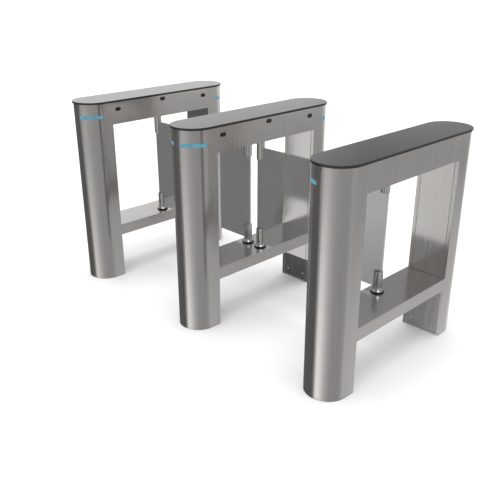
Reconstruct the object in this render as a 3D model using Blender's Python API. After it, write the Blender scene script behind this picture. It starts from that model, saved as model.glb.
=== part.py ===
"""Two-lane security gate: three fixed pedestals with four swinging glass leaves. Metres, +Z up.

X runs across the lanes, Y along the direction of travel. The origin is on the floor at the middle
pedestal's centre.
"""

import math

import bmesh
import bpy
from mathutils import Matrix, Vector

# Layout
PEDESTAL_PITCH = 0.850
PEDESTAL_LENGTH = 1.000
PEDESTAL_WIDTH = 0.205
HOUSING_TOP = 1.017
LEG_DEPTH = 0.157
UPPER_BEAM_BOTTOM = 0.8985
LOWER_BEAM_TOP = 0.3155
LOWER_BEAM_BOTTOM = 0.253
WALL = 0.002
FIT_GAP = 0.0003

# Legs
INNER_FACE_WALL = 0.005
BASE_PLATE = 0.006
ANCHOR_HOLE_RADIUS = 0.007
ANCHOR_X = 0.060
ANCHOR_INNER_Y = -0.370
ANCHOR_OUTER_Y = -0.445
CABLE_WAY_HALF = 0.030
PANEL_HALF_WIDTH = 0.082
PANEL_SEAM = 0.0022
PANEL_THICKNESS = 0.002
PANEL_OPENING_HALF = 0.070
PANEL_LEDGE = 0.016
LOWER_PANEL_BOTTOM = 0.009
PANEL_SCREW_X = 0.0566
PANEL_SCREW_Z = 0.046
PANEL_SCREW_RADIUS = 0.0026
COVER_SCREW_Z = 1.008
COVER_SCREW_RADIUS = 0.0034

# Top cover
COVER_THICKNESS = 0.011
COVER_OVERHANG = 0.006
COVER_EDGE = 0.0012
COVER_RIB = 0.003
COVER_RIB_DEPTH = 0.0045

# Light guides, as angles from the pedestal's end towards its side
LIGHT_BOTTOM = 0.9395
LIGHT_TOP = 0.9560
LIGHT_START = math.radians(12)
LIGHT_END = math.radians(88)
LIGHT_FLANGE_OVERLAP = 0.006
LIGHT_FLANGE_THICKNESS = 0.006

# Sensor windows, as (distance along the lane, height)
SENSOR_RADIUS = 0.010
SENSOR_HALF_STRAIGHT = 0.0075
SENSOR_PLACES = ((-0.305, 0.979), (0.0, 0.997), (0.305, 0.979))
SENSOR_PROUD = 0.0006
RAIL_BOTTOM = 0.962
RAIL_TOP = 1.011
RAIL_HALF_LENGTH = 0.325
RAIL_THICKNESS = 0.004

# Leaves and their pivots
PIVOT_OFFSET = 0.046
LEAF_REACH = 0.339
LEAF_TAIL = 0.019
LEAF_BOTTOM = 0.3395
LEAF_TOP = 0.8565
LEAF_THICKNESS = 0.010
LEAF_FREE_CORNER = 0.006
LEAF_HINGE_CORNER = 0.004
LEAF_EDGE = 0.0008
POST_RADIUS = 0.021
POST_SLOT = 0.011
POST_EDGE = 0.0015
LOWER_POST_TOP = 0.419
UPPER_POST_BOTTOM = 0.792
SKIRT_RADIUS = 0.0295
SKIRT_RIM = 0.002
SKIRT_TOP = 0.3450
SHAFT_RADIUS = 0.010
SHAFT_CLEARANCE = 0.0003
SHAFT_HOLE_MARGIN = 0.004
PIVOT_AIR = 0.0008
LOWER_SHAFT_BOTTOM = 0.264
UPPER_SHAFT_TOP = 0.932
RING_RADIUS = 0.0318
RING_TOP = 0.3217
SKIRT_BOTTOM = RING_TOP + PIVOT_AIR
SLEEVE_RADIUS = 0.020
SLEEVE_BOTTOM = 0.270

# Drive units
DRIVE_BOTTOM = 0.9015
GEARBOX_HALF_X = 0.041
GEARBOX_HALF_Y = 0.055
GEARBOX_TOP = 0.944
GEARBOX_CORNER = 0.006
MOTOR_RADIUS = 0.029
MOTOR_TOP = 0.996
ENCODER_RADIUS = 0.020
ENCODER_TOP = 1.006

# Controllers
CONTROLLER_HALF_WIDTH = 0.058
CONTROLLER_BACK = -0.455
CONTROLLER_FRONT = -0.395
CONTROLLER_BOTTOM = 0.420
CONTROLLER_TOP = 0.640
CONTROLLER_EDGE = 0.004

END_STEPS = 20
ROUND_STEPS = 20
SMALL_STEPS = 12
CORNER_STEPS = 4
FLARE_STEPS = 3
ARC_STEP = math.radians(9.5)
SHARP_ANGLE = math.radians(30)
TINY = 1e-6
PAST = 0.010

HALF_WIDTH = PEDESTAL_WIDTH / 2
END_CENTRE = -(PEDESTAL_LENGTH / 2 - HALF_WIDTH)
INNER_FACE = -(PEDESTAL_LENGTH / 2 - LEG_DEPTH)
BEAM_HALF_LENGTH = -INNER_FACE - FIT_GAP

# Colours in linear light, roughness and metallic value of each finish
FINISHES = {
    "brushed_steel": ((0.46, 0.45, 0.43), 0.28, 1.0),
    "polished_steel": ((0.62, 0.61, 0.60), 0.08, 1.0),
    "dark_glass": ((0.02, 0.02, 0.021), 0.05, 0.0),
    "leaf_glass": ((0.16, 0.165, 0.165), 0.04, 0.0),
    "light": ((0.08, 0.45, 0.62), 0.30, 0.0),
    "black_plastic": ((0.02, 0.02, 0.02), 0.35, 0.0),
    "black_rubber": ((0.015, 0.015, 0.015), 0.60, 0.0),
    "cast_aluminium": ((0.50, 0.50, 0.50), 0.45, 1.0),
    "grey_plastic": ((0.25, 0.26, 0.27), 0.50, 0.0),
}


def clear_scene():
    for obj in list(bpy.data.objects):
        bpy.data.objects.remove(obj, do_unlink=True)


def finish(obj, kind):
    """Gives the sub-part its own material."""
    colour, roughness, metallic = FINISHES[kind]
    material = bpy.data.materials.new(obj.name)
    material.use_nodes = True
    shader = material.node_tree.nodes["Principled BSDF"]
    shader.inputs["Base Color"].default_value = (*colour, 1.0)
    shader.inputs["Roughness"].default_value = roughness
    shader.inputs["Metallic"].default_value = metallic
    obj.data.materials.append(material)


def anchor(name, location=(0.0, 0.0, 0.0), turn=0.0):
    """An empty that pieces are placed from."""
    empty = bpy.data.objects.new(name, None)
    bpy.context.scene.collection.objects.link(empty)
    empty.location = location
    empty.rotation_euler.z = turn
    return empty


def solid(name, bm, parent, turn=0.0):
    bmesh.ops.recalc_face_normals(bm, faces=bm.faces)
    mesh = bpy.data.meshes.new(name)
    bm.to_mesh(mesh)
    bm.free()
    mesh.shade_smooth()
    mesh.set_sharp_from_angle(angle=SHARP_ANGLE)
    obj = bpy.data.objects.new(name, mesh)
    bpy.context.scene.collection.objects.link(obj)
    obj.parent = parent
    obj.rotation_euler.z = turn
    return obj


def combine(obj, label, bm, operation="DIFFERENCE"):
    """Cuts a helper shape from the object, or joins it on."""
    helper = solid(f"{obj.name}.{label}", bm, obj)
    helper.hide_render = True
    helper.display_type = "WIRE"
    boolean = obj.modifiers.new(label, "BOOLEAN")
    boolean.operation = operation
    boolean.solver = "EXACT"
    boolean.object = helper


def vertices_of(geometry):
    return [item for item in geometry if isinstance(item, bmesh.types.BMVert)]


def boxes(*corners):
    """Boxes that don't touch each other, each as its lowest and highest corner."""
    bm = bmesh.new()
    for low, high in corners:
        low, high = Vector(low), Vector(high)
        place = Matrix.Translation((low + high) / 2) @ Matrix.Diagonal((*(high - low), 1.0))
        bmesh.ops.create_cube(bm, size=1.0, matrix=place)
    return bm


def add_cylinder(bm, radius, start, end, steps=SMALL_STEPS):
    """A cylinder between two points on one axis."""
    start, end = Vector(start), Vector(end)
    along = end - start
    place = Matrix.Translation((start + end) / 2) @ along.to_track_quat("Z", "Y").to_matrix().to_4x4()
    bmesh.ops.create_cone(
        bm, cap_ends=True, segments=steps, radius1=radius, radius2=radius, depth=along.length, matrix=place
    )


def add_window(bm, radius, start, end, place):
    """A bar along X with the section of a sensor window: an oblong that is long in Y."""
    half_turn = SMALL_STEPS // 2
    angles = [math.pi * (step / half_turn - 0.5) for step in range(half_turn + 1)]
    near = [(SENSOR_HALF_STRAIGHT + radius * math.cos(angle), radius * math.sin(angle)) for angle in angles]
    outline = near + [(-y, -z) for y, z in near]
    y, z = place
    face = bm.faces.new([bm.verts.new((start, y + dy, z + dz)) for dy, dz in outline])
    raised = bmesh.ops.extrude_face_region(bm, geom=[face])["geom"]
    bmesh.ops.translate(bm, vec=(end - start, 0, 0), verts=vertices_of(raised))


def prism(outline, low, high):
    """An outline of (x, y) points extruded along Z."""
    bm = bmesh.new()
    face = bm.faces.new([bm.verts.new((x, y, low)) for x, y in outline])
    raised = bmesh.ops.extrude_face_region(bm, geom=[face])["geom"]
    bmesh.ops.translate(bm, vec=(0, 0, high - low), verts=vertices_of(raised))
    return bm


def turned(profile, steps=ROUND_STEPS):
    """A profile of (radius, height) points turned about Z.

    It starts and ends on the axis, or closes on itself.
    """
    bm = bmesh.new()
    corners = [bm.verts.new((radius, 0, height)) for radius, height in profile]
    edges = [bm.edges.new(pair) for pair in zip(corners, corners[1:])]
    if profile[0][0] > 0:
        edges.append(bm.edges.new((corners[-1], corners[0])))
    bmesh.ops.spin(
        bm, geom=edges, cent=(0, 0, 0), axis=(0, 0, 1), angle=math.tau, steps=steps, use_merge=True
    )
    bmesh.ops.remove_doubles(bm, verts=bm.verts, dist=TINY)
    return bm


def arc_point(radius, angle):
    """A point on the pedestal's rounded end, with the angle measured from its tip towards +X."""
    return radius * math.sin(angle), END_CENTRE - radius * math.cos(angle)


def add_arc_block(bm, inner, outer, low, high, start, end):
    """A block that follows the pedestal's rounded end."""
    steps = max(2, round((end - start) / ARC_STEP))
    section = [(inner, low), (outer, low), (outer, high), (inner, high)]
    face = bm.faces.new([bm.verts.new((*arc_point(radius, start), z)) for radius, z in section])
    bmesh.ops.spin(
        bm, geom=[face], cent=(0, END_CENTRE, 0), axis=(0, 0, 1), angle=end - start, steps=steps
    )


def end_outline(radius, inner):
    """A half-round end of a pedestal, closed by straight sides that run to y = inner."""
    angles = [math.pi * (step / END_STEPS - 0.5) for step in range(END_STEPS + 1)]
    return [(-radius, inner), *(arc_point(radius, angle) for angle in angles), (radius, inner)]


def pedestal_outline(radius):
    """The pedestal seen from above: straight sides and two half-round ends."""
    near = [arc_point(radius, math.pi * (step / END_STEPS - 0.5)) for step in range(END_STEPS + 1)]
    return near + [(-x, -y) for x, y in near]


def rounded_rectangle(left, right, bottom, top, left_radius, right_radius):
    """Corner points of a rectangle with rounded corners, anticlockwise from the lower right."""
    corners = (
        (right - right_radius, bottom + right_radius, right_radius, -90),
        (right - right_radius, top - right_radius, right_radius, 0),
        (left + left_radius, top - left_radius, left_radius, 90),
        (left + left_radius, bottom + left_radius, left_radius, 180),
    )
    points = []
    for x, y, radius, first in corners:
        for step in range(CORNER_STEPS + 1):
            angle = math.radians(first + 90 * step / CORNER_STEPS)
            points.append((x + radius * math.cos(angle), y + radius * math.sin(angle)))
    return points


def panel_spans():
    """Heights of the two removable panels in a leg's inner face."""
    return {
        "upper": (LOWER_BEAM_TOP + 2 * PANEL_SEAM, UPPER_BEAM_BOTTOM - 2 * PANEL_SEAM),
        "lower": (LOWER_PANEL_BOTTOM, LOWER_BEAM_BOTTOM - 2 * PANEL_SEAM),
    }


def make_leg_shell(name, pedestal, turn, lit_sides):
    """A welded sheet column with a half-round outer face. Its tip points to -Y before it is turned."""
    leg = solid(name, prism(end_outline(HALF_WIDTH, INNER_FACE), 0, HOUSING_TOP), pedestal, turn)
    inside = HALF_WIDTH - WALL
    above = HOUSING_TOP + PAST
    cavity = prism(end_outline(inside, INNER_FACE - INNER_FACE_WALL), BASE_PLATE, above)
    combine(leg, "cavity", cavity)
    deep = INNER_FACE - 2 * INNER_FACE_WALL
    clear = INNER_FACE + PAST
    throat = boxes(((-inside, deep, UPPER_BEAM_BOTTOM + WALL), (inside, clear, above)))
    combine(leg, "beam_throat", throat)

    spans = panel_spans().values()
    seat_half = PANEL_HALF_WIDTH + PANEL_SEAM
    seat = INNER_FACE - PANEL_THICKNESS - FIT_GAP
    seats = [
        ((-seat_half, seat, low - PANEL_SEAM), (seat_half, clear, high + PANEL_SEAM)) for low, high in spans
    ]
    combine(leg, "panel_seats", boxes(*seats))
    lowest = PANEL_SCREW_Z + PANEL_LEDGE
    openings = [
        (
            (-PANEL_OPENING_HALF, deep, max(low + PANEL_LEDGE, lowest)),
            (PANEL_OPENING_HALF, clear, high - PANEL_LEDGE),
        )
        for low, high in spans
    ]
    combine(leg, "panel_openings", boxes(*openings))

    windows = bmesh.new()
    for side in lit_sides:
        start, end = sorted((side * LIGHT_START, side * LIGHT_END))
        add_arc_block(
            windows, inside - PAST, HALF_WIDTH + PAST, LIGHT_BOTTOM, LIGHT_TOP, start, end
        )
    tip = END_CENTRE - HALF_WIDTH
    add_cylinder(
        windows, COVER_SCREW_RADIUS, (0, tip - PAST, COVER_SCREW_Z), (0, tip + PAST, COVER_SCREW_Z)
    )
    combine(leg, "end_windows", windows)

    cable_low = END_CENTRE - CABLE_WAY_HALF
    cable_high = END_CENTRE + CABLE_WAY_HALF
    floor_holes = boxes(
        ((-CABLE_WAY_HALF, cable_low, -PAST), (CABLE_WAY_HALF, cable_high, BASE_PLATE + PAST))
    )
    for x in (-ANCHOR_X, ANCHOR_X):
        for y in (ANCHOR_INNER_Y, ANCHOR_OUTER_Y):
            add_cylinder(floor_holes, ANCHOR_HOLE_RADIUS, (x, y, -PAST), (x, y, BASE_PLATE + PAST))
    combine(leg, "floor_holes", floor_holes)
    finish(leg, "brushed_steel")


def make_leg_panels(prefix, pedestal, turn):
    """The two flush covers in a leg's inner face. The lower one has two screw holes."""
    for level, (low, high) in panel_spans().items():
        back = INNER_FACE - PANEL_THICKNESS
        body = boxes(((-PANEL_HALF_WIDTH, back, low), (PANEL_HALF_WIDTH, INNER_FACE, high)))
        panel = solid(f"{prefix}_{level}_panel", body, pedestal, turn)
        if level == "lower":
            holes = bmesh.new()
            for x in (-PANEL_SCREW_X, PANEL_SCREW_X):
                start = (x, back - PAST, PANEL_SCREW_Z)
                add_cylinder(holes, PANEL_SCREW_RADIUS, start, (x, INNER_FACE + PAST, PANEL_SCREW_Z))
            combine(panel, "screw_holes", holes)
        finish(panel, "brushed_steel")


def make_light_guide(name, pedestal, turn, lit_sides):
    """A flanged acrylic strip behind the leg's end, with a raised face in each window."""
    flange_outer = (HALF_WIDTH - WALL) * math.cos(math.pi / END_STEPS / 2) - FIT_GAP
    flange_inner = flange_outer - LIGHT_FLANGE_THICKNESS
    reach = [side * LIGHT_END for side in lit_sides]
    if len(lit_sides) == 1:
        reach.append(lit_sides[0] * LIGHT_START)
    flange = bmesh.new()
    bottom = LIGHT_BOTTOM - LIGHT_FLANGE_OVERLAP
    top = LIGHT_TOP + LIGHT_FLANGE_OVERLAP
    add_arc_block(flange, flange_inner, flange_outer, bottom, top, min(reach), max(reach))
    guide = solid(name, flange, pedestal, turn)
    margin = 2 * FIT_GAP
    faces = bmesh.new()
    for side in lit_sides:
        start, end = sorted((side * LIGHT_START, side * LIGHT_END))
        add_arc_block(
            faces,
            flange_outer - LIGHT_FLANGE_THICKNESS / 2,
            HALF_WIDTH,
            LIGHT_BOTTOM + margin,
            LIGHT_TOP - margin,
            start + margin / HALF_WIDTH,
            end - margin / HALF_WIDTH,
        )
    combine(guide, "lit_faces", faces, "UNION")
    finish(guide, "light")


def make_upper_beam(name, pedestal, lane_sides):
    """A deep open-topped channel between the legs, with holes for the leaf shafts and the sensors."""
    low = (-HALF_WIDTH, -BEAM_HALF_LENGTH, UPPER_BEAM_BOTTOM)
    beam = solid(name, boxes((low, (HALF_WIDTH, BEAM_HALF_LENGTH, HOUSING_TOP))), pedestal)
    inside = HALF_WIDTH - WALL
    past_end = BEAM_HALF_LENGTH + PAST
    floor = UPPER_BEAM_BOTTOM + WALL
    combine(beam, "channel", boxes(((-inside, -past_end, floor), (inside, past_end, HOUSING_TOP + PAST))))
    holes = bmesh.new()
    for side in lane_sides:
        x = side * PIVOT_OFFSET
        radius = SHAFT_RADIUS + SHAFT_HOLE_MARGIN
        add_cylinder(holes, radius, (x, 0, UPPER_BEAM_BOTTOM - PAST), (x, 0, floor + PAST / 2))
        for place in SENSOR_PLACES:
            add_window(holes, SENSOR_RADIUS, side * (inside - PAST), side * (HALF_WIDTH + PAST), place)
    combine(beam, "holes", holes)
    finish(beam, "brushed_steel")


def make_lower_beam(name, pedestal, lane_sides):
    """A flat box beam between the legs that carries the lower pivots."""
    low = (-HALF_WIDTH, -BEAM_HALF_LENGTH, LOWER_BEAM_BOTTOM)
    beam = solid(name, boxes((low, (HALF_WIDTH, BEAM_HALF_LENGTH, LOWER_BEAM_TOP))), pedestal)
    inside = HALF_WIDTH - WALL
    past_end = BEAM_HALF_LENGTH + PAST
    duct = ((-inside, -past_end, LOWER_BEAM_BOTTOM + WALL), (inside, past_end, LOWER_BEAM_TOP - WALL))
    combine(beam, "duct", boxes(duct))
    holes = bmesh.new()
    for side in lane_sides:
        x = side * PIVOT_OFFSET
        radius = SLEEVE_RADIUS + 2 * FIT_GAP
        start = (x, 0, LOWER_BEAM_TOP - PAST)
        add_cylinder(holes, radius, start, (x, 0, LOWER_BEAM_TOP + PAST), ROUND_STEPS)
    combine(beam, "bearing_holes", holes)
    finish(beam, "brushed_steel")


def make_top_cover(name, pedestal):
    """A dark glass lid with a softened top edge and a locating rib underneath."""
    bottom = HOUSING_TOP + FIT_GAP
    top = HOUSING_TOP + COVER_THICKNESS
    bm = prism(pedestal_outline(HALF_WIDTH + COVER_OVERHANG), bottom, top)
    rim = [edge for edge in bm.edges if all(vertex.co.z > top - TINY for vertex in edge.verts)]
    bmesh.ops.bevel(bm, geom=rim, offset=COVER_EDGE, segments=1, affect="EDGES")
    underside = max(
        (face for face in bm.faces if abs(face.calc_center_median().z - bottom) < TINY),
        key=lambda face: face.calc_area(),
    )
    rib_outer = COVER_OVERHANG + WALL + 2 * FIT_GAP
    bmesh.ops.inset_individual(bm, faces=[underside], thickness=rib_outer, use_even_offset=True)
    rib = bmesh.ops.inset_individual(bm, faces=[underside], thickness=COVER_RIB, use_even_offset=True)
    lowered = bmesh.ops.extrude_face_region(bm, geom=rib["faces"])["geom"]
    bmesh.ops.translate(bm, vec=(0, 0, -COVER_RIB_DEPTH), verts=vertices_of(lowered))
    bmesh.ops.delete(bm, geom=rib["faces"], context="FACES_ONLY")
    finish(solid(name, bm, pedestal), "dark_glass")


def make_sensor_rail(name, pedestal, side):
    """A strip behind the beam's wall that carries the sensor windows of one lane."""
    outer = HALF_WIDTH - WALL - 2 * FIT_GAP
    inner = outer - RAIL_THICKNESS
    near, far = sorted((side * inner, side * outer))
    strip = boxes(((near, -RAIL_HALF_LENGTH, RAIL_BOTTOM), (far, RAIL_HALF_LENGTH, RAIL_TOP)))
    rail = solid(name, strip, pedestal)
    windows = bmesh.new()
    start = side * (inner + RAIL_THICKNESS / 2)
    end = side * (HALF_WIDTH + SENSOR_PROUD)
    for place in SENSOR_PLACES:
        add_window(windows, SENSOR_RADIUS - 2 * FIT_GAP, start, end, place)
    combine(rail, "windows", windows, "UNION")
    finish(rail, "black_plastic")


def make_controller(name, pedestal):
    """The control electronics' case, held inside the front leg."""
    low = (-CONTROLLER_HALF_WIDTH, CONTROLLER_BACK, CONTROLLER_BOTTOM)
    bm = boxes((low, (CONTROLLER_HALF_WIDTH, CONTROLLER_FRONT, CONTROLLER_TOP)))
    bmesh.ops.bevel(bm, geom=bm.edges[:], offset=CONTROLLER_EDGE, segments=1, affect="EDGES")
    finish(solid(name, bm, pedestal), "grey_plastic")


def make_drive_unit(name, pivot):
    """The gearmotor in the upper beam. Its hollow output takes the upper post's shaft."""
    low = (-GEARBOX_HALF_X, -GEARBOX_HALF_Y, DRIVE_BOTTOM)
    gearbox = boxes((low, (GEARBOX_HALF_X, GEARBOX_HALF_Y, GEARBOX_TOP)))
    upright = [edge for edge in gearbox.edges if abs(edge.verts[0].co.z - edge.verts[1].co.z) > TINY]
    bmesh.ops.bevel(gearbox, geom=upright, offset=GEARBOX_CORNER, segments=1, affect="EDGES")
    drive = solid(name, gearbox, pivot)
    motor = turned(
        [
            (0, GEARBOX_TOP - PAST / 2),
            (MOTOR_RADIUS, GEARBOX_TOP - PAST / 2),
            (MOTOR_RADIUS, MOTOR_TOP),
            (ENCODER_RADIUS, MOTOR_TOP),
            (ENCODER_RADIUS, ENCODER_TOP),
            (0, ENCODER_TOP),
        ],
        SMALL_STEPS,
    )
    combine(drive, "motor", motor, "UNION")
    bore = bmesh.new()
    radius = SHAFT_RADIUS + SHAFT_CLEARANCE
    add_cylinder(bore, radius, (0, 0, DRIVE_BOTTOM - PAST), (0, 0, UPPER_SHAFT_TOP + WALL), ROUND_STEPS)
    combine(drive, "output_bore", bore)
    finish(drive, "cast_aluminium")


def make_pivot_bearing(name, pivot):
    """A black flanged bush that sits in the lower beam's top. Its flange shows as a ring."""
    bore = SHAFT_RADIUS + SHAFT_CLEARANCE
    seat = LOWER_BEAM_TOP + FIT_GAP
    profile = [
        (bore, SLEEVE_BOTTOM),
        (SLEEVE_RADIUS, SLEEVE_BOTTOM),
        (SLEEVE_RADIUS, seat),
        (RING_RADIUS, seat),
        (RING_RADIUS, RING_TOP - POST_EDGE),
        (RING_RADIUS - POST_EDGE, RING_TOP),
        (bore, RING_TOP),
    ]
    finish(solid(name, turned(profile), pivot), "black_rubber")


def add_slot(post, low, high):
    half = POST_SLOT / 2
    reach = POST_RADIUS + PAST
    combine(post, "leaf_slot", boxes(((-reach, -half, low), (reach, half, high))))


def make_lower_post(name, pivot):
    """The slotted lower clamp, its flared skirt and the shaft that turns in the bearing."""
    flare = []
    for step in range(1, FLARE_STEPS + 1):
        angle = math.radians(90 * step / FLARE_STEPS)
        radius = POST_RADIUS + (SKIRT_RADIUS - POST_RADIUS) * (1 - math.sin(angle))
        rise = (SKIRT_TOP - SKIRT_BOTTOM - SKIRT_RIM) * (1 - math.cos(angle))
        flare.append((radius, SKIRT_BOTTOM + SKIRT_RIM + rise))
    profile = [
        (0, LOWER_SHAFT_BOTTOM),
        (SHAFT_RADIUS, LOWER_SHAFT_BOTTOM),
        (SHAFT_RADIUS, SKIRT_BOTTOM),
        (SKIRT_RADIUS, SKIRT_BOTTOM),
        (SKIRT_RADIUS, SKIRT_BOTTOM + SKIRT_RIM),
        *flare,
        (POST_RADIUS, LOWER_POST_TOP - POST_EDGE),
        (POST_RADIUS - POST_EDGE, LOWER_POST_TOP),
        (0, LOWER_POST_TOP),
    ]
    post = solid(name, turned(profile), pivot)
    add_slot(post, LEAF_BOTTOM - FIT_GAP, LOWER_POST_TOP + PAST)
    finish(post, "polished_steel")


def make_upper_post(name, pivot):
    """The slotted upper clamp and the shaft that the drive unit turns."""
    shoulder = UPPER_BEAM_BOTTOM - PIVOT_AIR
    profile = [
        (0, UPPER_POST_BOTTOM),
        (POST_RADIUS - POST_EDGE, UPPER_POST_BOTTOM),
        (POST_RADIUS, UPPER_POST_BOTTOM + POST_EDGE),
        (POST_RADIUS, shoulder),
        (SHAFT_RADIUS, shoulder),
        (SHAFT_RADIUS, UPPER_SHAFT_TOP),
        (0, UPPER_SHAFT_TOP),
    ]
    post = solid(name, turned(profile), pivot)
    add_slot(post, UPPER_POST_BOTTOM - PAST, LEAF_TOP + FIT_GAP)
    finish(post, "polished_steel")


def make_leaf(name, pivot):
    """A tinted glass leaf that points to +X from its pivot, with eased edges."""
    outline = rounded_rectangle(
        -LEAF_TAIL, LEAF_REACH, LEAF_BOTTOM, LEAF_TOP, LEAF_HINGE_CORNER, LEAF_FREE_CORNER
    )
    bm = prism(outline, -LEAF_THICKNESS / 2, LEAF_THICKNESS / 2)
    rims = [edge for edge in bm.edges if abs(edge.verts[0].co.z - edge.verts[1].co.z) < TINY]
    bmesh.ops.bevel(bm, geom=rims, offset=LEAF_EDGE, segments=1, affect="EDGES")
    bmesh.ops.rotate(bm, verts=bm.verts, matrix=Matrix.Rotation(math.pi / 2, 3, "X"))
    finish(solid(name, bm, pivot), "leaf_glass")


def make_pedestal(side_name, x, lane_sides):
    """One pedestal. lane_sides holds +1 where a lane lies on its +X side and -1 on its -X side."""
    pedestal = anchor(f"{side_name}_pedestal", (x, 0, 0))
    for end_name, turn, mirror in (("front", 0.0, 1), ("rear", math.pi, -1)):
        prefix = f"{side_name}_{end_name}"
        lit_sides = [mirror * side for side in lane_sides]
        make_leg_shell(f"{prefix}_leg_shell", pedestal, turn, lit_sides)
        make_leg_panels(prefix, pedestal, turn)
        make_light_guide(f"{prefix}_light_guide", pedestal, turn, lit_sides)
    make_upper_beam(f"{side_name}_upper_beam", pedestal, lane_sides)
    make_lower_beam(f"{side_name}_lower_beam", pedestal, lane_sides)
    make_top_cover(f"{side_name}_top_cover", pedestal)
    make_controller(f"{side_name}_controller", pedestal)
    for side in lane_sides:
        facing = "" if len(lane_sides) == 1 else {-1: "_left", 1: "_right"}[side]
        make_sensor_rail(f"{side_name}{facing}_sensor_rail", pedestal, side)


def make_leaf_set(name, pedestal_x, side):
    """A leaf with its clamps, bearing and drive. The leaf reaches into the lane on that side."""
    turn = 0.0 if side > 0 else math.pi
    pivot = anchor(f"{name}_pivot", (pedestal_x + side * PIVOT_OFFSET, 0, 0), turn)
    make_leaf(f"{name}_glass", pivot)
    make_lower_post(f"{name}_lower_post", pivot)
    make_upper_post(f"{name}_upper_post", pivot)
    make_pivot_bearing(f"{name}_pivot_bearing", pivot)
    make_drive_unit(f"{name}_drive_unit", pivot)


def main():
    clear_scene()
    pedestals = {"left": (-PEDESTAL_PITCH, [1]), "middle": (0.0, [-1, 1]), "right": (PEDESTAL_PITCH, [-1])}
    for side_name, (x, lane_sides) in pedestals.items():
        make_pedestal(side_name, x, lane_sides)
    for lane, left_x, right_x in (("left_lane", -PEDESTAL_PITCH, 0.0), ("right_lane", 0.0, PEDESTAL_PITCH)):
        make_leaf_set(f"{lane}_left_leaf", left_x, 1)
        make_leaf_set(f"{lane}_right_leaf", right_x, -1)


main()
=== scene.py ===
"""Looks of a two-lane security gate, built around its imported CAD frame. Metres, +Z up.

X runs across the lanes and Y along the direction of travel, as in the frame.
"""

import math

import bmesh
import bpy
from mathutils import Matrix, Vector


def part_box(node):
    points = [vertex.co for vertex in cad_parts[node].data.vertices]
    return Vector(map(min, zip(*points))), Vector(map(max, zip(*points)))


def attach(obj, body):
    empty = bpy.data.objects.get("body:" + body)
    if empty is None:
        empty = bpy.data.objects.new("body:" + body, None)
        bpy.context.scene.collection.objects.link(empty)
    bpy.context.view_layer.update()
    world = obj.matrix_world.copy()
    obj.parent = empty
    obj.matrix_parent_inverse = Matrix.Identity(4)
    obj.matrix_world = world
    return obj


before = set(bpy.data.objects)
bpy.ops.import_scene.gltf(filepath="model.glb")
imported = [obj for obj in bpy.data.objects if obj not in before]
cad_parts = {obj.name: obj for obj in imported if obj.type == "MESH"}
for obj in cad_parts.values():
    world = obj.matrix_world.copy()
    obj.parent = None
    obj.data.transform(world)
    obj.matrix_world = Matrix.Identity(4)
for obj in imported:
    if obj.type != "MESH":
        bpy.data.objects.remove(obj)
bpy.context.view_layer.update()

PEDESTALS = ("left", "middle", "right")
ENDS = ("front", "rear")
LEAVES = ("left_lane_left_leaf", "left_lane_right_leaf", "right_lane_left_leaf", "right_lane_right_leaf")

# Each sensor rail's pedestal, and the side of it that the rail looks from: 1 is +X, -1 is -X
RAILS = {
    "left": ("left", 1),
    "middle_left": ("middle", -1),
    "middle_right": ("middle", 1),
    "right": ("right", -1),
}

# Camera
CAMERA_PLACE = (2.3544, -2.3433, 1.6863)
CAMERA_TILT = math.radians(67.034)
CAMERA_TURN = math.radians(45.513)
CAMERA_LENS = 47.90
CAMERA_SENSOR = 36.0

FLOOR_HALF = 60.0

# Overhead light
KEY_STRENGTH = 1.03
KEY_SPREAD = math.radians(40)


def middle_x(node):
    low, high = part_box(node)
    return (low.x + high.x) / 2


# Places that small pieces are fitted to, read from the CAD. All pedestals are alike, and so are all leaves.
PEDESTAL_X = {pedestal: middle_x(f"{pedestal}_upper_beam") for pedestal in PEDESTALS}
FRONT_LEG_LOW, FRONT_LEG_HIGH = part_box("middle_front_leg_shell")
HALF_WIDTH = FRONT_LEG_HIGH.x
HALF_LENGTH = -FRONT_LEG_LOW.y
INNER_FACE = -FRONT_LEG_HIGH.y
LEAF_LOW_CORNER, LEAF_HIGH_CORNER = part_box("right_lane_left_leaf_glass")
LEAF_HALF = LEAF_HIGH_CORNER.y
LEAF_LOW = LEAF_LOW_CORNER.z
LEAF_HIGH = LEAF_HIGH_CORNER.z
LOWER_POST_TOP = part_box("right_lane_left_leaf_lower_post")[1].z
UPPER_POST_LOW_CORNER, UPPER_POST_HIGH_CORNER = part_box("right_lane_left_leaf_upper_post")
UPPER_POST_BOTTOM = UPPER_POST_LOW_CORNER.z
POST_RADIUS = UPPER_POST_HIGH_CORNER.y

# The same for the holes, slots and windows inside a node's box, as they are dimensioned in the CAD
SLOT_HALF = 0.0055
WINDOW_PLACES = ((-0.305, 0.979), (0.0, 0.997), (0.305, 0.979))
WINDOW_HALF_STRAIGHT = 0.0075
WINDOW_RADIUS = 0.010
WINDOW_PROUD = 0.0006
PANEL_SCREW_X = 0.0566
PANEL_SCREW_Z = 0.046
TIP_SCREW_Z = 1.008

# Sizes of the small pieces
ROUND_STEPS = 36
BEZEL_LAP = 0.0005
BEZEL_WIDTH = 0.0020
BEZEL_PROUD = 0.0011
LENS_RADIUS = 0.0062
LENS_PROUD = 0.0012
PANEL_SCREW_RADIUS = 0.0046
TIP_SCREW_RADIUS = 0.0030
CLAMP_SCREW_RADIUS = 0.0027
LOWER_CLAMP_HEIGHTS = (0.360, 0.402)
UPPER_CLAMP_HEIGHTS = (0.806, 0.842)

SHARP_ANGLE = math.radians(28)
FLARE_CORNER = math.radians(40)
WELD_DISTANCE = 2e-5


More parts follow.
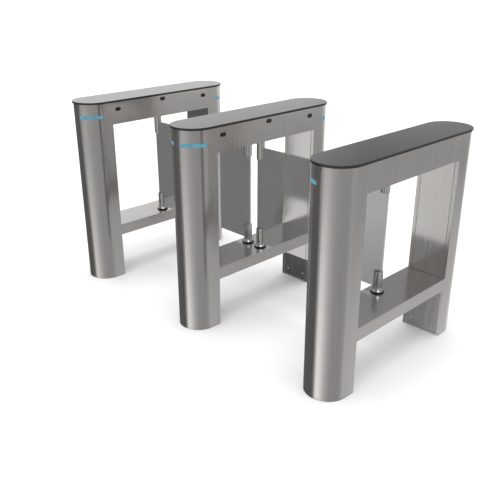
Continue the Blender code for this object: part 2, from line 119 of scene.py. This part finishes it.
class Tree:
    """A node tree under construction."""

    def __init__(self, owner):
        owner.use_nodes = True
        self.nodes = owner.node_tree.nodes
        self.links = owner.node_tree.links
        self.nodes.clear()

    def node(self, kind, inputs=None, **settings):
        """Adds a node. inputs maps socket names or numbers to values or to sockets that feed them."""
        made = self.nodes.new(kind)
        for name, value in settings.items():
            setattr(made, name, value)
        for key, value in (inputs or {}).items():
            self.feed(made.inputs[key], value)
        return made

    def feed(self, socket, value):
        if isinstance(value, bpy.types.NodeSocket):
            self.links.new(value, socket)
        else:
            socket.default_value = value

    def math(self, operation, *values, clamp=False):
        inputs = dict(enumerate(values))
        return self.node("ShaderNodeMath", inputs, operation=operation, use_clamp=clamp).outputs[0]

    def smooth(self, value, low, high):
        """0 below low, 1 above high, eased between them."""
        inputs = {"Value": value, "From Min": low, "From Max": high}
        return self.node("ShaderNodeMapRange", inputs, interpolation_type="SMOOTHSTEP").outputs["Result"]

    def span(self, value, low, high):
        """Takes 0 to 1 onto low to high."""
        inputs = {"Value": value, "To Min": low, "To Max": high}
        return self.node("ShaderNodeMapRange", inputs).outputs["Result"]

    def stretch(self, vector, factors):
        return self.node("ShaderNodeVectorMath", {0: vector, 1: factors}, operation="MULTIPLY").outputs[0]

    def noise(self, vector, scale, detail=3.0, roughness=0.55):
        inputs = {"Vector": vector, "Scale": scale, "Detail": detail, "Roughness": roughness}
        return self.node("ShaderNodeTexNoise", inputs).outputs["Fac"]

    def ramp(self, value, stops):
        """A grey ramp through (position, level) stops."""
        made = self.node("ShaderNodeValToRGB", {"Fac": value})
        points = made.color_ramp.elements
        while len(points) < len(stops):
            points.new(0.5)
        for point, (position, level) in zip(points, stops):
            point.position = position
            point.color = (level, level, level, 1.0)
        return made.outputs["Color"]

    def blend(self, factor, first, second):
        """Mixes two colours or colour sockets."""
        made = self.node("ShaderNodeMix", data_type="RGBA")
        self.feed(made.inputs["Factor"], factor)
        self.feed(made.inputs["A"], first)
        self.feed(made.inputs["B"], second)
        return made.outputs["Result"]

    def output(self, kind, shader):
        self.links.new(shader, self.node(kind).inputs["Surface"])


def colour(red, green, blue):
    return (red, green, blue, 1.0)


def make_material(name):
    material = bpy.data.materials.new(name)
    return material, Tree(material)


def grain(tree):
    """Object coordinates squeezed along the brushing: upright on walls, along Y on level faces."""
    place = tree.node("ShaderNodeTexCoord")
    walls = tree.stretch(place.outputs["Object"], (1.0, 1.0, 0.012))
    levels = tree.stretch(place.outputs["Object"], (1.0, 0.012, 1.0))
    normal = tree.node("ShaderNodeSeparateXYZ", {0: place.outputs["Normal"]}).outputs["Z"]
    level = tree.math("GREATER_THAN", tree.math("ABSOLUTE", normal), 0.7)
    mixed = tree.node("ShaderNodeMix", data_type="VECTOR")
    tree.feed(mixed.inputs["Factor"], level)
    tree.feed(mixed.inputs["A"], walls)
    tree.feed(mixed.inputs["B"], levels)
    return mixed.outputs["Result"], place.outputs["Object"]


STEEL = (0.612, 0.592, 0.572)
# Half height of the band that picks out the lower post's flat top, which is painted dark as painted shade
DARK_TOP_MARGIN = 0.001


def brushed_steel(name, tone=1.0, roughness=(0.16, 0.26), streak=0.025, metallic=1.0):
    """Satin stainless sheet: long streaks, faint smears and scuffs close to the floor."""
    material, tree = make_material(name)
    streaked, place = grain(tree)
    coarse = tree.noise(streaked, 160.0, detail=3.0, roughness=0.6)
    fine = tree.noise(streaked, 650.0, detail=2.0)
    smears = tree.noise(place, 3.2, detail=3.0)
    streaks = tree.math("ADD", tree.math("MULTIPLY", coarse, 0.5), tree.math("MULTIPLY", fine, 0.5))
    contrast = tree.smooth(streaks, 0.30, 0.70)
    dark = colour(*(level * tone * (1.0 - streak) for level in STEEL))
    light = colour(*(level * tone * (1.0 + streak) for level in STEEL))
    clean = tree.blend(contrast, dark, light)
    height = tree.node("ShaderNodeSeparateXYZ", {0: place}).outputs["Z"]
    scuff_edge = tree.math("MULTIPLY_ADD", tree.noise(place, 38.0, detail=4.0), 0.05, height)
    scuffed = tree.math("SUBTRACT", 1.0, tree.smooth(scuff_edge, 0.022, 0.042))
    dulled = tree.math("MULTIPLY", scuffed, 0.16)
    base = tree.blend(dulled, clean, colour(0.30, 0.29, 0.275))
    low, high = roughness
    shine = tree.span(contrast, low, high)
    shine = tree.math("MULTIPLY_ADD", tree.math("SUBTRACT", smears, 0.5), 0.10, shine)
    shine = tree.math("MULTIPLY_ADD", scuffed, 0.06, shine)
    relief = tree.node("ShaderNodeBump", {"Strength": 0.05, "Distance": 0.0003, "Height": streaks})
    shader = tree.node(
        "ShaderNodeBsdfPrincipled",
        {"Base Color": base, "Metallic": metallic, "Roughness": shine, "Normal": relief.outputs[0]},
    )
    tree.output("ShaderNodeOutputMaterial", shader.outputs[0])
    return material


def polished_steel():
    """Turned and polished bar, with fine rings left by the lathe. The lower post's flat top is rougher and
    painted dark: painted shade in place of the ceiling it would mirror.
    """
    material, tree = make_material("polished_steel")
    place = tree.node("ShaderNodeTexCoord").outputs["Object"]
    rings = tree.noise(tree.stretch(place, (0.05, 0.05, 1.0)), 1500.0, detail=2.0)
    film = tree.noise(place, 60.0, detail=3.0)
    turned = tree.blend(film, colour(0.66, 0.655, 0.645), colour(0.76, 0.755, 0.745))
    height = tree.node("ShaderNodeSeparateXYZ", {0: place}).outputs["Z"]
    # Painted shade: the lower post's flat top gets a dark colour instead of its reflection of the ceiling
    above = tree.math("GREATER_THAN", height, LOWER_POST_TOP - DARK_TOP_MARGIN)
    below = tree.math("LESS_THAN", height, LOWER_POST_TOP + DARK_TOP_MARGIN)
    painted_dark_top = tree.math("MULTIPLY", above, below)
    base = tree.blend(painted_dark_top, turned, colour(0.26, 0.26, 0.255))
    shine = tree.math("ADD", tree.span(film, 0.03, 0.09), tree.math("MULTIPLY", rings, 0.05))
    shine = tree.math("MULTIPLY_ADD", painted_dark_top, 0.25, shine)
    relief = tree.node("ShaderNodeBump", {"Strength": 0.05, "Distance": 0.0001, "Height": rings})
    shader = tree.node(
        "ShaderNodeBsdfPrincipled",
        {"Base Color": base, "Metallic": 1.0, "Roughness": shine, "Normal": relief.outputs[0]},
    )
    tree.output("ShaderNodeOutputMaterial", shader.outputs[0])
    return material


def cover_glass():
    """Black back-painted glass with a light film of dust and wiping marks."""
    material, tree = make_material("cover_glass")
    place = tree.node("ShaderNodeTexCoord").outputs["Object"]
    dust = tree.noise(place, 900.0, detail=2.0)
    wiped = tree.noise(tree.stretch(place, (1.0, 0.25, 1.0)), 14.0, detail=4.0)
    specks = tree.smooth(dust, 0.62, 0.74)
    dusty = tree.math("MULTIPLY", specks, 0.5)
    base = tree.blend(dusty, colour(0.018, 0.018, 0.019), colour(0.075, 0.074, 0.072))
    shine = tree.math("ADD", tree.span(wiped, 0.05, 0.13), tree.math("MULTIPLY", specks, 0.12))
    relief = tree.node("ShaderNodeBump", {"Strength": 0.03, "Distance": 0.0002, "Height": wiped})
    shader = tree.node(
        "ShaderNodeBsdfPrincipled",
        {"Base Color": base, "Roughness": shine, "Normal": relief.outputs[0], "IOR": 1.52},
    )
    tree.output("ShaderNodeOutputMaterial", shader.outputs[0])
    return material


def leaf_glass():
    """Mirror-coated grey glass: it mirrors nearly all the light and lets a little through."""
    material, tree = make_material("leaf_glass")
    place = tree.node("ShaderNodeTexCoord").outputs["Object"]
    film = tree.noise(tree.stretch(place, (1.0, 1.0, 0.4)), 16.0, detail=4.0)
    prints = tree.smooth(tree.noise(place, 70.0, detail=5.0), 0.60, 0.72)
    marks = tree.math("ADD", tree.math("MULTIPLY", film, 0.6), tree.math("MULTIPLY", prints, 0.4))
    base = tree.blend(marks, colour(0.965, 0.970, 0.970), colour(0.925, 0.930, 0.928))
    shine = tree.span(marks, 0.004, 0.040)
    shader = tree.node(
        "ShaderNodeBsdfPrincipled",
        {"Base Color": base, "Metallic": 0.93, "Roughness": shine, "Alpha": 0.93},
    )
    tree.output("ShaderNodeOutputMaterial", shader.outputs[0])
    return material


def lit_acrylic():
    """Frosted light guide, lit blue and slightly uneven between its diodes."""
    material, tree = make_material("lit_acrylic")
    place = tree.node("ShaderNodeTexCoord").outputs["Object"]
    frost = tree.noise(place, 1200.0, detail=2.0)
    pools = tree.noise(place, 45.0, detail=1.0)
    bright = tree.smooth(pools, 0.35, 0.65)
    glow = tree.blend(bright, colour(0.045, 0.155, 0.240), colour(0.075, 0.235, 0.300))
    shine = tree.span(frost, 0.30, 0.50)
    relief = tree.node("ShaderNodeBump", {"Strength": 0.2, "Distance": 0.0002, "Height": frost})
    shader = tree.node(
        "ShaderNodeBsdfPrincipled",
        {
            "Base Color": colour(0.03, 0.12, 0.16),
            "Roughness": shine,
            "Normal": relief.outputs[0],
            "Emission Color": glow,
            "Emission Strength": 1.0,
        },
    )
    tree.output("ShaderNodeOutputMaterial", shader.outputs[0])
    return material


def speckled(name, base, fleck, roughness, relief=0.1, scale=900.0, metallic=0.0):
    """Moulded, cast or painted surface with a fine texture."""
    material, tree = make_material(name)
    place = tree.node("ShaderNodeTexCoord").outputs["Object"]
    grit = tree.noise(place, scale, detail=3.0)
    patches = tree.noise(place, 25.0, detail=2.0)
    base_colour = tree.blend(tree.smooth(grit, 0.45, 0.70), colour(*base), colour(*fleck))
    shine = tree.math("MULTIPLY_ADD", tree.math("SUBTRACT", patches, 0.5), 0.2, roughness)
    bump = tree.node("ShaderNodeBump", {"Strength": relief, "Distance": 0.0002, "Height": grit})
    shader = tree.node(
        "ShaderNodeBsdfPrincipled",
        {"Base Color": base_colour, "Metallic": metallic, "Roughness": shine, "Normal": bump.outputs[0]},
    )
    tree.output("ShaderNodeOutputMaterial", shader.outputs[0])
    return material


MATERIALS = {
    "housing": brushed_steel("housing_steel"),
    "panel": brushed_steel("panel_steel", tone=1.03, roughness=(0.12, 0.22), streak=0.04),
    "screw": brushed_steel("screw_steel", tone=1.3, roughness=(0.34, 0.44), metallic=0.8),
    "post": polished_steel(),
    "cover": cover_glass(),
    "leaf": leaf_glass(),
    "light": lit_acrylic(),
    "sensor": speckled("sensor_window", (0.006, 0.005, 0.006), (0.012, 0.010, 0.011), 0.10, relief=0.02),
    "bezel": speckled("sensor_bezel", (0.012, 0.012, 0.012), (0.022, 0.022, 0.022), 0.38),
    "ring": speckled("pivot_ring", (0.010, 0.010, 0.010), (0.020, 0.020, 0.020), 0.36),
    "gasket": speckled("leaf_gasket", (0.012, 0.012, 0.012), (0.025, 0.025, 0.025), 0.60),
    "black_screw": speckled("black_screw", (0.010, 0.010, 0.010), (0.030, 0.030, 0.030), 0.45),
    "casting": speckled("drive_casting", (0.36, 0.36, 0.36), (0.46, 0.46, 0.46), 0.45, 0.3, 500.0, 1.0),
    "case": speckled("controller_case", (0.20, 0.21, 0.22), (0.26, 0.27, 0.28), 0.55),
}


def dress(node, kind, edge=0.0, corner=SHARP_ANGLE):
    """Gives a CAD node its material, smooth rounds and softened edges where it turns by a corner's angle."""
    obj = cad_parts[node]
    obj.data.materials.clear()
    obj.data.materials.append(MATERIALS[kind])
    for polygon in obj.data.polygons:
        polygon.use_smooth = True
    weld = obj.modifiers.new("weld", "WELD")
    weld.merge_threshold = WELD_DISTANCE
    if edge:
        bevel = obj.modifiers.new("soft_edges", "BEVEL")
        bevel.width = edge
        bevel.segments = 2
        bevel.limit_method = "ANGLE"
        bevel.angle_limit = corner
        bevel.harden_normals = True
    weighted = obj.modifiers.new("even_shading", "WEIGHTED_NORMAL")
    weighted.mode = "FACE_AREA_WITH_ANGLE"
    weighted.keep_sharp = True


def dress_frame():
    for pedestal in PEDESTALS:
        for end in ENDS:
            dress(f"{pedestal}_{end}_leg_shell", "housing", 0.0004)
            dress(f"{pedestal}_{end}_upper_panel", "panel", 0.0003)
            dress(f"{pedestal}_{end}_lower_panel", "panel", 0.0003)
            dress(f"{pedestal}_{end}_light_guide", "light", 0.0002)
        dress(f"{pedestal}_upper_beam", "housing", 0.0004)
        dress(f"{pedestal}_lower_beam", "housing", 0.0004)
        dress(f"{pedestal}_top_cover", "cover", 0.0004)
        dress(f"{pedestal}_controller", "case", 0.001)
    for rail in RAILS:
        dress(f"{rail}_sensor_rail", "bezel", 0.0003)
    for leaf in LEAVES:
        dress(f"{leaf}_glass", "leaf")
        dress(f"{leaf}_lower_post", "post", 0.0002, FLARE_CORNER)
        dress(f"{leaf}_upper_post", "post", 0.0002)
        dress(f"{leaf}_pivot_bearing", "ring", 0.0003)
        dress(f"{leaf}_drive_unit", "casting", 0.0008)


def new_piece(name, bm, kind, place, body="root"):
    """A finished piece, placed by a matrix and fixed to a body of the frame."""
    bmesh.ops.recalc_face_normals(bm, faces=bm.faces)
    bm.transform(place)
    mesh = bpy.data.meshes.new(name)
    bm.to_mesh(mesh)
    bm.free()
    mesh.materials.append(MATERIALS[kind])
    mesh.shade_smooth()
    mesh.set_sharp_from_angle(angle=SHARP_ANGLE)
    piece = bpy.data.objects.new(name, mesh)
    bpy.context.scene.collection.objects.link(piece)
    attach(piece, body)
    return piece


def facing(place, normal):
    """A matrix that stands a piece at a place, with its own +Z along the normal."""
    turn = Vector(normal).to_track_quat("Z", "Y").to_matrix().to_4x4()
    return Matrix.Translation(place) @ turn


def stacked_rings(rings):
    """A closed body from rings of (radius, height, hexagon share), capped at both ends."""
    bm = bmesh.new()
    loops = []
    for radius, height, share in rings:
        loop = []
        for step in range(ROUND_STEPS):
            angle = math.tau * step / ROUND_STEPS
            off_corner = (angle + math.pi / 6) % (math.pi / 3) - math.pi / 6
            reach = radius * (1 - share + share * math.cos(math.pi / 6) / math.cos(off_corner))
            loop.append(bm.verts.new((reach * math.cos(angle), reach * math.sin(angle), height)))
        loops.append(loop)
    for low, high in zip(loops, loops[1:]):
        for step in range(ROUND_STEPS):
            after = (step + 1) % ROUND_STEPS
            bm.faces.new((low[step], low[after], high[after], high[step]))
    bm.faces.new(loops[0])
    bm.faces.new(loops[-1])
    return bm


def button_screw(radius, height, root):
    """A domed screw head with a hexagon socket."""
    socket = radius * 0.52
    return stacked_rings(
        (
            (radius * 0.98, -root, 0.0),
            (radius, 0.0, 0.0),
            (radius, height * 0.35, 0.0),
            (radius * 0.94, height * 0.66, 0.0),
            (radius * 0.80, height * 0.90, 0.0),
            (radius * 0.66, height, 0.0),
            (socket, height * 0.96, 1.0),
            (socket * 0.96, height * 0.15, 1.0),
        )
    )


def oblong(radius, half_straight):
    """Points of an oblong with half-round ends, long in its own X."""
    half_turn = ROUND_STEPS // 2
    angles = [math.pi * (step / half_turn - 0.5) for step in range(half_turn + 1)]
    near = [(half_straight + radius * math.cos(angle), radius * math.sin(angle)) for angle in angles]
    return near + [(-x, -y) for x, y in near]


def oblong_frame(inner, outer, half_straight, low, high):
    """A flat frame with softened outer rim, seen as a ring round an oblong window."""
    rim = (high - low) * 0.3
    top = high - rim
    section = (
        (inner, low),
        (outer, low),
        (outer, top),
        (outer - rim, high),
        (inner + rim, high),
        (inner, top),
    )
    bm = bmesh.new()
    loops = [[bm.verts.new((x, y, z)) for x, y in oblong(radius, half_straight)] for radius, z in section]
    for first, second in zip(loops, loops[1:] + loops[:1]):
        for step in range(len(first)):
            after = (step + 1) % len(first)
            bm.faces.new((first[step], first[after], second[after], second[step]))
    return bm


def add_sensor_windows(rail):
    """A bezel and two lenses for each of the three windows of a sensor rail."""
    pedestal, side = RAILS[rail]
    wall = PEDESTAL_X[pedestal] + side * HALF_WIDTH
    upright = Matrix(((0, 0, side, 0), (side, 0, 0, 0), (0, 1, 0, 0), (0, 0, 0, 1)))
    for number, (y, z) in enumerate(WINDOW_PLACES, start=1):
        outer = WINDOW_RADIUS + BEZEL_LAP
        frame_bm = oblong_frame(outer - BEZEL_WIDTH, outer, WINDOW_HALF_STRAIGHT, 0.0001, BEZEL_PROUD)
        place = Matrix.Translation((wall, y, z)) @ upright
        new_piece(f"{rail}_sensor_{number}_bezel", frame_bm, "bezel", place, "root")
        for label, along in (("a", -WINDOW_HALF_STRAIGHT), ("b", WINDOW_HALF_STRAIGHT)):
            lens = stacked_rings(
                [(LENS_RADIUS, -0.0003, 0.0)]
                + [
                    (LENS_RADIUS * math.cos(angle), LENS_PROUD * math.sin(angle), 0.0)
                    for angle in (math.radians(12 * step) for step in range(8))
                ]
            )
            spot = Matrix.Translation((wall + side * WINDOW_PROUD, y + along, z)) @ upright
            new_piece(f"{rail}_sensor_{number}_lens_{label}", lens, "sensor", spot, "root")


def add_pedestal_screws(pedestal):
    """Two screws in each lower panel and one under each tip of the top cover."""
    x = PEDESTAL_X[pedestal]
    for end, way in (("front", -1), ("rear", 1)):
        for label, off in (("left", -PANEL_SCREW_X), ("right", PANEL_SCREW_X)):
            place = facing((x + off, way * INNER_FACE, PANEL_SCREW_Z), (0, -way, 0))
            head = button_screw(PANEL_SCREW_RADIUS, 0.0026, 0.0015)
            new_piece(f"{pedestal}_{end}_panel_screw_{label}", head, "screw", place, "root")
        place = facing((x, way * (HALF_LENGTH - 0.0006), TIP_SCREW_Z), (0, way, 0))
        head = button_screw(TIP_SCREW_RADIUS, 0.0008, 0.0015)
        new_piece(f"{pedestal}_{end}_cover_screw", head, "black_screw", place, "root")


def glazing_strips(x_near, x_far, low, high):
    """Two rubber strips that fill the gaps between the glass and the walls of a post's slot."""
    bm = bmesh.new()
    gap = SLOT_HALF - LEAF_HALF
    for way in (-1, 1):
        middle = ((x_near + x_far) / 2, way * (LEAF_HALF + gap / 2), (low + high) / 2)
        size = (abs(x_far - x_near), gap * 0.9, high - low, 1.0)
        bmesh.ops.create_cube(bm, size=1.0, matrix=Matrix.Translation(middle) @ Matrix.Diagonal(size))
    bmesh.ops.bevel(bm, geom=bm.edges, offset=gap * 0.2, segments=1, affect="EDGES")
    return bm


def add_leaf_fittings(leaf):
    """Glazing strips and clamp screws of a leaf's two posts. They swing with the leaf."""
    pivot = middle_x(f"{leaf}_pivot_bearing")
    way = math.copysign(1.0, middle_x(f"{leaf}_glass") - pivot)
    still = Matrix.Identity(4)
    near = pivot + way * POST_RADIUS * 0.4
    far = pivot + way * (math.sqrt(POST_RADIUS**2 - SLOT_HALF**2) + 0.0006)
    spans = {
        "lower": (LEAF_LOW + 0.001, LOWER_POST_TOP + 0.0006),
        "upper": (UPPER_POST_BOTTOM - 0.0006, LEAF_HIGH - 0.001),
    }
    for label, (low, high) in spans.items():
        strips = glazing_strips(near, far, low, high)
        new_piece(f"{leaf}_{label}_glazing", strips, "gasket", still, leaf)
    heights = {"lower": LOWER_CLAMP_HEIGHTS, "upper": UPPER_CLAMP_HEIGHTS}
    for label, pair in heights.items():
        for number, z in enumerate(pair, start=1):
            for face, side in (("front", -1), ("rear", 1)):
                place = facing((pivot, side * (POST_RADIUS - 0.0003), z), (0, side, 0))
                head = button_screw(CLAMP_SCREW_RADIUS, 0.0005, 0.0015)
                name = f"{leaf}_{label}_clamp_screw_{face}_{number}"
                new_piece(name, head, "black_screw", place, leaf)


def around(stops):
    """Ramp stops given as bearings in degrees, put in the 0 to 1 of a full turn."""
    return [((bearing + 180.0) / 360.0, level) for bearing, level in stops]


# The studio as the steel mirrors it. Bearings are in degrees: 0 is in front of the gate (-Y), 90 to its
# right (+X). Depth is how far below level a reflection looks, as a share of DEPTH_RANGE degrees.
DEPTH_RANGE = 40.0
STUDIO_WALL = (
    (-180, 0.80), (-152, 0.80), (-143, 1.08), (-137, 1.02), (-131, 0.20), (-127, 0.135), (-42, 0.125),
    (-39, 0.15), (-37, 0.22), (-34, 0.22), (-31, 0.235), (-29, 0.25), (-26, 0.35), (-16, 0.42), (-6, 0.47),
    (6, 0.47), (24, 0.43), (42, 0.415), (60, 0.39), (72, 0.38), (98, 0.38), (107, 0.46), (118, 0.44),
    (126, 0.415), (132, 0.395), (144, 0.37), (154, 0.34), (172, 0.46), (180, 0.80),
)
DARK_BY_BEARING = (
    (-42.9, 0.0), (-42.1, 0.95), (-39, 0.85), (-37, 0.0), (-33, 0.0), (-30, 0.30), (-27, 0.20), (-24, 0.0),
)
DARK_BY_DEPTH = ((0.44, 0.0), (0.49, 0.75), (0.60, 0.80), (0.68, 1.1), (1.0, 1.1))

# Brighter patches low on the wall, each as stops by bearing and stops by depth
LOW_STRIP = (
    (
        (-28, 0.0), (-20, 1.0), (-12, 1.0), (-5, 0.87), (3, 0.66), (12, 0.46), (24, 0.22), (40, 0.05),
        (50, 0.0),
    ),
    ((0.20, 0.0), (0.30, 0.10), (0.45, 0.25), (0.60, 0.50), (0.75, 0.85), (1.0, 0.90)),
)
LOW_BACK = (
    ((110, 0.0), (119, 0.95), (124, 0.9), (131, 0.65), (144, 0.85), (151, 1.7), (160, 1.9), (180, 1.9)),
    ((0.18, 0.25), (0.33, 0.0), (0.44, 0.01), (0.52, 0.03), (0.58, 0.09), (0.68, 0.19), (0.82, 0.27)),
)
LOW_BACK_RIGHT = (
    ((147, 0.0), (151, 1.0), (158, 1.0), (166, 0.0)),
    ((0.38, 0.0), (0.46, 0.20), (0.54, 0.20), (0.64, 0.0)),
)
LOW_LEFT = (
    ((-40, 0.0), (-37, 1.0), (-33, 1.0), (-30, 0.3), (-26, 0.0)),
    ((0.34, 0.08), (0.42, 0.155), (0.49, 0.145), (0.55, 0.09), (0.61, 0.04), (1.0, 0.0)),
)

# The ceiling by rise (1 is straight up) and the light panel in it, which shows from one side only
CEILING = (
    (0.0, 0.42), (0.13, 0.42), (0.235, 0.24), (0.26, 0.29), (0.28, 0.27), (0.30, 0.36), (0.32, 0.39),
)
UPPER_BACK = ((-154, 0.95), (-152, 0.92), (-149, 0.85), (-145, 0.66), (-139, 0.97))
PANEL_BY_BEARING = ((30, 0.0), (48, 1.0), (78, 1.0), (96, 0.0))
PANEL_BY_RISE = ((0.33, 0.0), (0.44, 1.7), (1.0, 1.7))

# The softbox fades along a slant, by degrees of rise plus a share of the bearing
SOFTBOX_SLANT = -0.75
SOFTBOX_START = 94.5
SOFTBOX_REACH = 60.0
SOFTBOX_FADE = (
    (0.0, 0.98), (0.10, 0.89), (0.21, 0.81), (0.275, 0.62), (0.31, 0.58), (0.35, 0.56), (0.417, 0.37),
    (0.467, 0.31), (0.517, 0.15), (0.70, 0.07), (0.83, 0.02), (1.0, 0.0),
)
SOFTBOX_EDGE = ((-114, 1.0), (-96, 0.0))

# What lights matt surfaces, the same from every side
FILL = 1.13


def make_world():
    """A studio as the steel mirrors it: a dark wall beside an even grey one, a bright strip low in front,
    a slanted softbox behind on the left and a grey ceiling with one light panel. Matt surfaces get an even
    fill, and the camera sees white."""
    world = bpy.data.worlds.new("studio")
    bpy.context.scene.world = world
    tree = Tree(world)
    ray = tree.node("ShaderNodeTexCoord").outputs["Generated"]
    part = tree.node("ShaderNodeSeparateXYZ", {0: ray})
    ahead = tree.math("MULTIPLY", part.outputs["Y"], -1.0)
    bearing = tree.math("DEGREES", tree.math("ARCTAN2", part.outputs["X"], ahead))
    rise = tree.math("DEGREES", tree.math("ARCSINE", part.outputs["Z"]))
    turn = tree.math("DIVIDE", tree.math("ADD", bearing, 180.0), 360.0)
    depth = tree.math("DIVIDE", rise, -DEPTH_RANGE, clamp=True)
    height = tree.math("DIVIDE", rise, 90.0)

    dark = tree.math("MULTIPLY", tree.ramp(turn, around(DARK_BY_BEARING)), tree.ramp(depth, DARK_BY_DEPTH))
    lower = tree.math("MULTIPLY", tree.ramp(turn, around(STUDIO_WALL)), tree.math("SUBTRACT", 1.0, dark))
    for by_bearing, by_depth in (LOW_STRIP, LOW_BACK, LOW_BACK_RIGHT, LOW_LEFT):
        patch = tree.math("MULTIPLY", tree.ramp(turn, around(by_bearing)), tree.ramp(depth, by_depth))
        lower = tree.math("ADD", lower, patch)

    slant = tree.math("SUBTRACT", tree.math("MULTIPLY_ADD", bearing, SOFTBOX_SLANT, rise), SOFTBOX_START)
    fade = tree.ramp(tree.math("DIVIDE", slant, SOFTBOX_REACH), SOFTBOX_FADE)
    softbox = tree.math("MULTIPLY", fade, tree.ramp(turn, around(SOFTBOX_EDGE)))
    upper = tree.math("ADD", softbox, tree.ramp(height, CEILING))
    upper = tree.math("MULTIPLY", upper, tree.ramp(turn, around(UPPER_BACK)))
    panel = tree.math("MULTIPLY", tree.ramp(turn, around(PANEL_BY_BEARING)), tree.ramp(height, PANEL_BY_RISE))
    upper = tree.math("ADD", upper, panel)

    studio = tree.blend(tree.smooth(rise, -2.0, 4.0), lower, upper)
    path = tree.node("ShaderNodeLightPath").outputs
    lit = tree.blend(path["Is Glossy Ray"], colour(FILL, FILL, FILL), studio)
    shown = tree.blend(path["Is Camera Ray"], lit, colour(1.0, 1.0, 1.0))
    back_light = tree.node("ShaderNodeBackground", {"Color": shown, "Strength": 1.0})
    tree.output("ShaderNodeOutputWorld", back_light.outputs[0])


def make_key_light():
    """A wide soft light straight overhead, which lays a shadow under each beam."""
    data = bpy.data.lights.new("overhead", "SUN")
    data.energy = KEY_STRENGTH
    data.angle = KEY_SPREAD
    lamp = bpy.data.objects.new("overhead", data)
    lamp.location = (0.0, 0.0, 3.0)
    lamp.visible_glossy = False
    bpy.context.scene.collection.objects.link(lamp)


def make_floor():
    """A wide pale floor. Reflections look through it to the studio."""
    mesh = bpy.data.meshes.new("floor")
    corners = [(x * FLOOR_HALF, y * FLOOR_HALF, 0.0) for x, y in ((-1, -1), (1, -1), (1, 1), (-1, 1))]
    mesh.from_pydata(corners, [], [(0, 1, 2, 3)])
    floor = bpy.data.objects.new("floor", mesh)
    bpy.context.scene.collection.objects.link(floor)
    material, tree = make_material("pale_floor")
    place = tree.node("ShaderNodeTexCoord").outputs["Object"]
    cloud = tree.noise(place, 1.5, detail=2.0)
    base = tree.blend(cloud, colour(0.90, 0.90, 0.90), colour(0.93, 0.93, 0.93))
    matt = tree.node("ShaderNodeBsdfDiffuse", {"Color": base})
    clear = tree.node("ShaderNodeBsdfTransparent")
    mirrored = tree.node("ShaderNodeLightPath").outputs["Is Glossy Ray"]
    mixed = tree.node("ShaderNodeMixShader", {0: mirrored, 1: matt.outputs[0], 2: clear.outputs[0]})
    tree.output("ShaderNodeOutputMaterial", mixed.outputs[0])
    mesh.materials.append(material)


def make_camera():
    data = bpy.data.cameras.new("camera")
    data.lens = CAMERA_LENS
    data.sensor_width = CAMERA_SENSOR
    camera = bpy.data.objects.new("camera", data)
    camera.location = CAMERA_PLACE
    camera.rotation_euler = (CAMERA_TILT, 0.0, CAMERA_TURN)
    bpy.context.scene.collection.objects.link(camera)
    bpy.context.scene.camera = camera
    bpy.context.scene.view_settings.view_transform = "Standard"


make_world()
make_key_light()
make_floor()
make_camera()
dress_frame()
for sensor_rail in RAILS:
    add_sensor_windows(sensor_rail)
for gate_pedestal in PEDESTALS:
    add_pedestal_screws(gate_pedestal)
for gate_leaf in LEAVES:
    add_leaf_fittings(gate_leaf)
